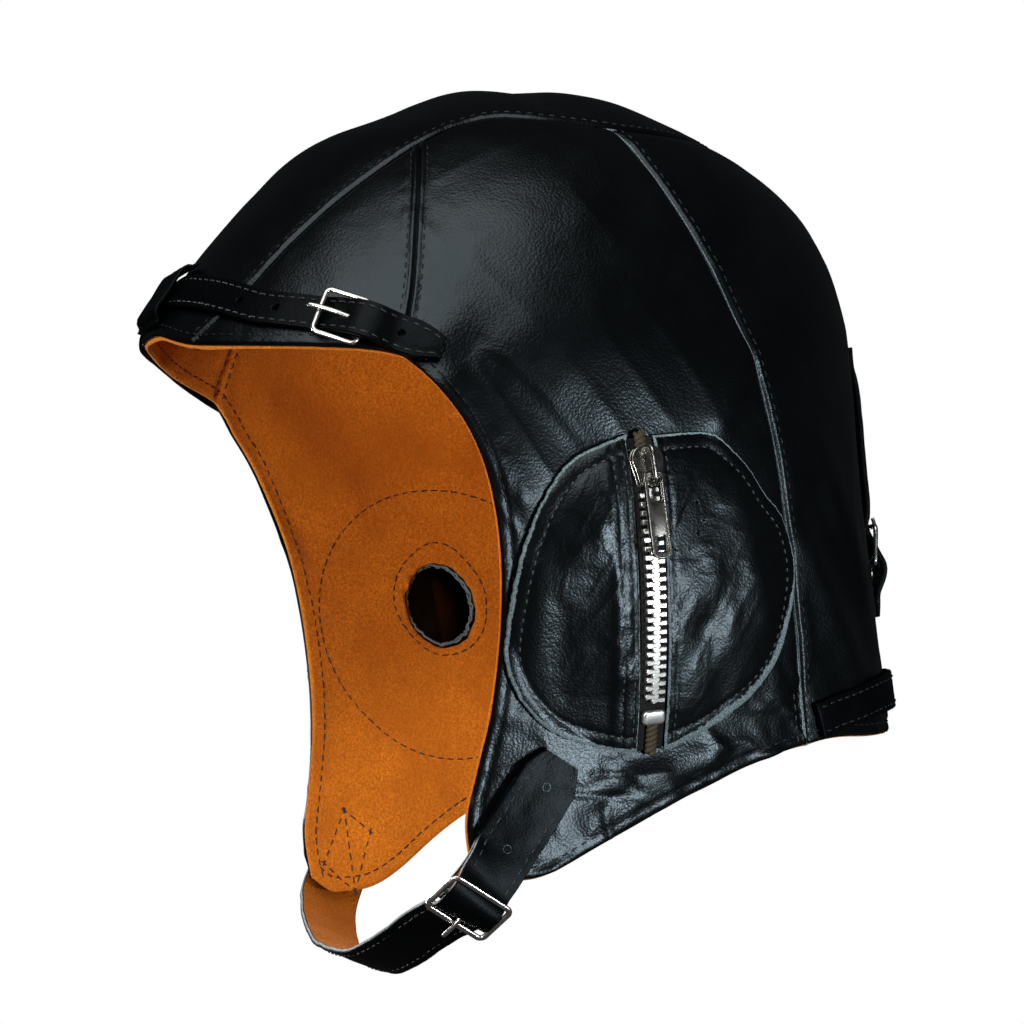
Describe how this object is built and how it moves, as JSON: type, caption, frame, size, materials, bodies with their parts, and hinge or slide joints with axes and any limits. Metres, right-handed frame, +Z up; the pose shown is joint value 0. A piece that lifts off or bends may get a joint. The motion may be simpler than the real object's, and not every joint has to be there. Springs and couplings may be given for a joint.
{
  "type": "leather flying helmet",
  "caption": "Black leather flying helmet with a tan suede lining, zipped ear patches and buckled chin, brow and back straps.",
  "frame": {"origin": "inner face of the lining at the top of the crown, where the head bears", "axes": "+Z up, -Y to the face opening, +X to the wearer's left"},
  "size_m": [0.177, 0.2176, 0.2453],
  "materials": {
    "black_leather": "worn, fine pebble grain",
    "suede_lining": "suede",
    "zip_tape": "woven",
    "zip_metal": "worn nickel",
    "buckle_chrome": "worn polish"
  },
  "bodies": {
    "helmet": {"crown_band": "black_leather", "temple_panel_left": "black_leather", "temple_panel_right": "black_leather", "side_panel_left": "black_leather", "side_panel_right": "black_leather", "back_panel": "black_leather", "ear_patch_front_left": "black_leather", "ear_patch_rear_left": "black_leather", "ear_patch_front_right": "black_leather", "ear_patch_rear_right": "black_leather", "brow_strap": "black_leather", "brow_holder_strap": "black_leather", "brow_loop": "black_leather", "chin_strap": "black_leather", "chin_holder_strap": "black_leather", "goggle_strap": "black_leather", "goggle_holder_strap": "black_leather", "nape_strap": "black_leather", "lining": "suede_lining", "brow_buckle_frame": "buckle_chrome", "brow_buckle_prong": "buckle_chrome", "chin_buckle_frame": "buckle_chrome", "chin_buckle_prong": "buckle_chrome", "goggle_buckle_frame": "buckle_chrome", "goggle_buckle_prong": "buckle_chrome", "zip_tape_left": "zip_tape", "zip_teeth_left": "zip_metal", "zip_stop_left": "zip_metal", "zip_slider_left": "zip_metal", "zip_tape_right": "zip_tape", "zip_teeth_right": "zip_metal", "zip_stop_right": "zip_metal", "zip_slider_right": "zip_metal"},
    "left_puller": {"zip_puller_left": "zip_metal"},
    "right_puller": {"zip_puller_right": "zip_metal"}
  },
  "joints": [
    {"name": "left_puller_hinge", "type": "hinge", "parent": "helmet", "child": "left_puller", "pos_m": [0.08588, 0.00612, -0.11159], "axis": [0.0004, -0.9903, -0.1387], "range_deg": [-5, 150]},
    {"name": "right_puller_hinge", "type": "hinge", "parent": "helmet", "child": "right_puller", "pos_m": [-0.08588, 0.00612, -0.11159], "axis": [0.0004, 0.9903, 0.1387], "range_deg": [-5, 150]}
  ]
}
